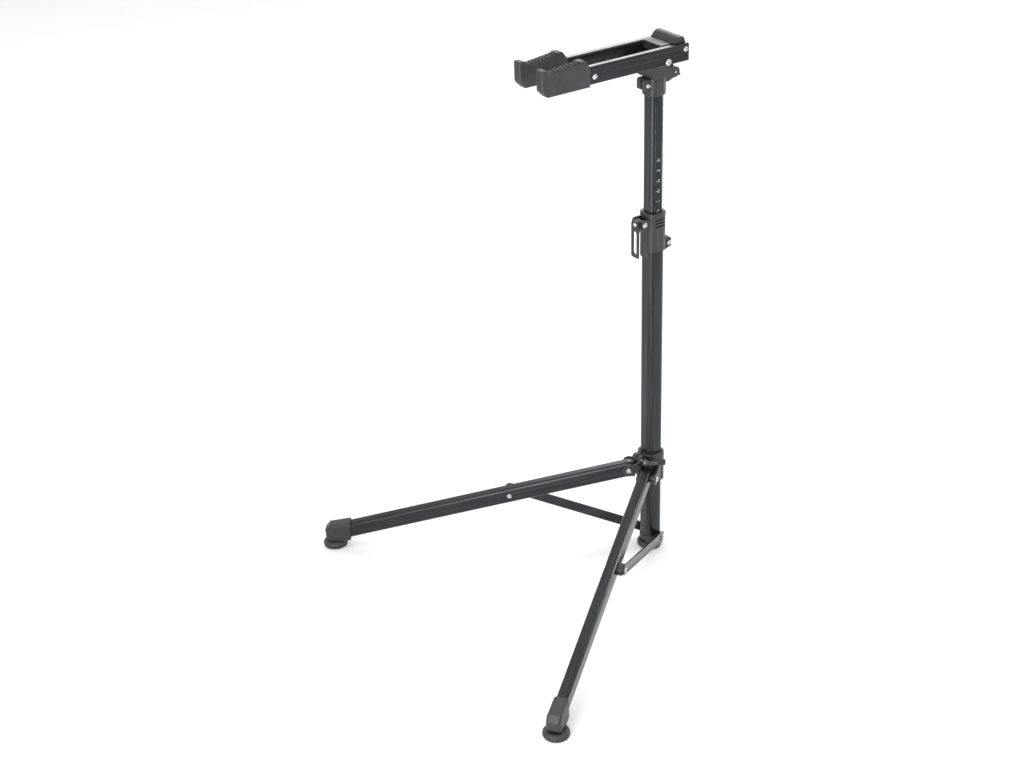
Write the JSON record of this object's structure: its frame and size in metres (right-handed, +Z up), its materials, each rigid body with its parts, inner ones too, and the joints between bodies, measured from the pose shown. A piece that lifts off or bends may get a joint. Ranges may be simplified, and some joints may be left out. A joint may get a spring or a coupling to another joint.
{
  "type": "bicycle work stand",
  "caption": "Folding bicycle work stand: a clamped telescoping post on spreading, strutted legs carries padded fold-down arms that cradle the frame.",
  "frame": {"origin": "centre of the flat bottom of the column's rubber foot, on the floor", "axes": "+Z up the column; the arms reach and the legs spread towards -Y; the quick-release lever lies on the +X side"},
  "size_m": [1.0354, 0.7534, 1.3412],
  "materials": {
    "tube": "satin charcoal coated aluminium tube",
    "casting": "fine-textured charcoal powder coat on die castings",
    "plastic": "moulded, lightly grained",
    "rubber": "matte moulded rubber",
    "nylon": "smooth nylon",
    "steel": "zinc plated, bright",
    "lever_steel": "polished"
  },
  "bodies": {
    "column": {"column_tube": "tube", "column_foot": "rubber", "bottom_bracket": "casting", "bracket_screws": "steel", "clamp_body": "casting", "clamp_bushing": "nylon", "brake_shoe": "nylon", "lever_pin": "steel", "lever_nut": "steel", "clamp_bolt": "steel", "clamp_nut": "steel"},
    "clamp_lever": {"clamp_lever": "plastic", "lever_screw": "steel"},
    "post": {"post_tube": "tube", "post_glide": "nylon", "head_casting": "casting", "head_pinch_bolt": "steel", "head_pinch_nut": "steel", "latch_pin": "steel"},
    "arm_latch": {"arm_latch": "plastic"},
    "arms": {"arm_left": "tube", "arm_right": "tube", "arm_pad_left": "rubber", "arm_pad_right": "rubber", "rear_block": "plastic", "arm_caps": "plastic", "arm_pivot_bolt": "steel", "arm_pivot_nut": "steel", "arm_pivot_washers": "nylon", "arm_rear_bolt": "steel", "arm_rear_nut": "steel", "arm_front_bolts": "steel"},
    "leg_collar": {"leg_collar": "casting", "collar_liner": "nylon", "leg_pivot_bolts": "steel", "leg_pivot_nuts": "steel", "leg_pivot_spacers": "nylon", "qr_skewer": "steel", "qr_nut": "steel", "qr_washer": "steel"},
    "qr_lever": {"qr_lever": "lever_steel", "qr_pin": "steel", "qr_lever_tip": "plastic"},
    "leg_left": {"leg_tube_left": "tube", "leg_boot_left": "plastic", "foot_pad_left": "rubber", "strut_spacer_left": "plastic", "strut_bolt_left": "steel", "strut_nut_left": "steel"},
    "strut_left": {"strut_left": "tube", "strut_rivet_left": "steel"},
    "leg_right": {"leg_tube_right": "tube", "leg_boot_right": "plastic", "foot_pad_right": "rubber", "strut_spacer_right": "plastic", "strut_bolt_right": "steel", "strut_nut_right": "steel"},
    "strut_right": {"strut_right": "tube", "strut_rivet_right": "steel"}
  },
  "joints": [
    {"name": "post_height", "type": "slide", "parent": "column", "child": "post", "axis": [0, 0, 1], "range_m": [-0.28, 0.12]},
    {"name": "clamp_lever_open", "type": "hinge", "parent": "column", "child": "clamp_lever", "pos_m": [0, -0.038, 0.897], "axis": [-1, 0, 0], "range_deg": [0, 95]},
    {"name": "arms_fold", "type": "hinge", "parent": "post", "child": "arms", "pos_m": [0, 0, 1.29], "axis": [1, 0, 0], "range_deg": [0, 90]},
    {"name": "arm_latch_press", "type": "hinge", "parent": "post", "child": "arm_latch", "pos_m": [0, 0.05, 1.2485], "axis": [-1, 0, 0], "range_deg": [0, 14], "stiffness_Nm_per_rad": 0.4, "springref_deg": -20.05},
    {"name": "leg_collar_slide", "type": "slide", "parent": "column", "child": "leg_collar", "axis": [0, 0, 1], "range_m": [0, 0.48685]},
    {"name": "qr_lever_open", "type": "hinge", "parent": "leg_collar", "child": "qr_lever", "pos_m": [0.024, -0.037, 0.2645], "axis": [0, 0, -1], "range_deg": [0, 120]},
    {"name": "leg_fold_left", "type": "hinge", "parent": "leg_collar", "child": "leg_left", "pos_m": [-0.0324, -0.0432, 0.225], "axis": [0.8, -0.6, 0], "range_deg": [0, 74.05]},
    {"name": "strut_swing_left", "type": "hinge", "parent": "leg_left", "child": "strut_left", "pos_m": [-0.23812, -0.26766, 0.14945], "axis": [-0.8, 0.6, 0], "range_deg": [0, 134.24]},
    {"name": "leg_fold_right", "type": "hinge", "parent": "leg_collar", "child": "leg_right", "pos_m": [0.0324, -0.0432, 0.225], "axis": [0.8, 0.6, 0], "range_deg": [0, 74.05]},
    {"name": "strut_swing_right", "type": "hinge", "parent": "leg_right", "child": "strut_right", "pos_m": [0.23812, -0.26766, 0.14945], "axis": [-0.8, -0.6, 0], "range_deg": [0, 134.24]}
  ],
  "couplings": [
    {"joint": "leg_fold_left", "follows": "leg_collar_slide", "rad_per_m": 2.6528},
    {"joint": "strut_swing_left", "follows": "leg_collar_slide", "rad_per_m": 4.8106},
    {"joint": "leg_fold_right", "follows": "leg_collar_slide", "rad_per_m": 2.6528},
    {"joint": "strut_swing_right", "follows": "leg_collar_slide", "rad_per_m": 4.8106}
  ]
}
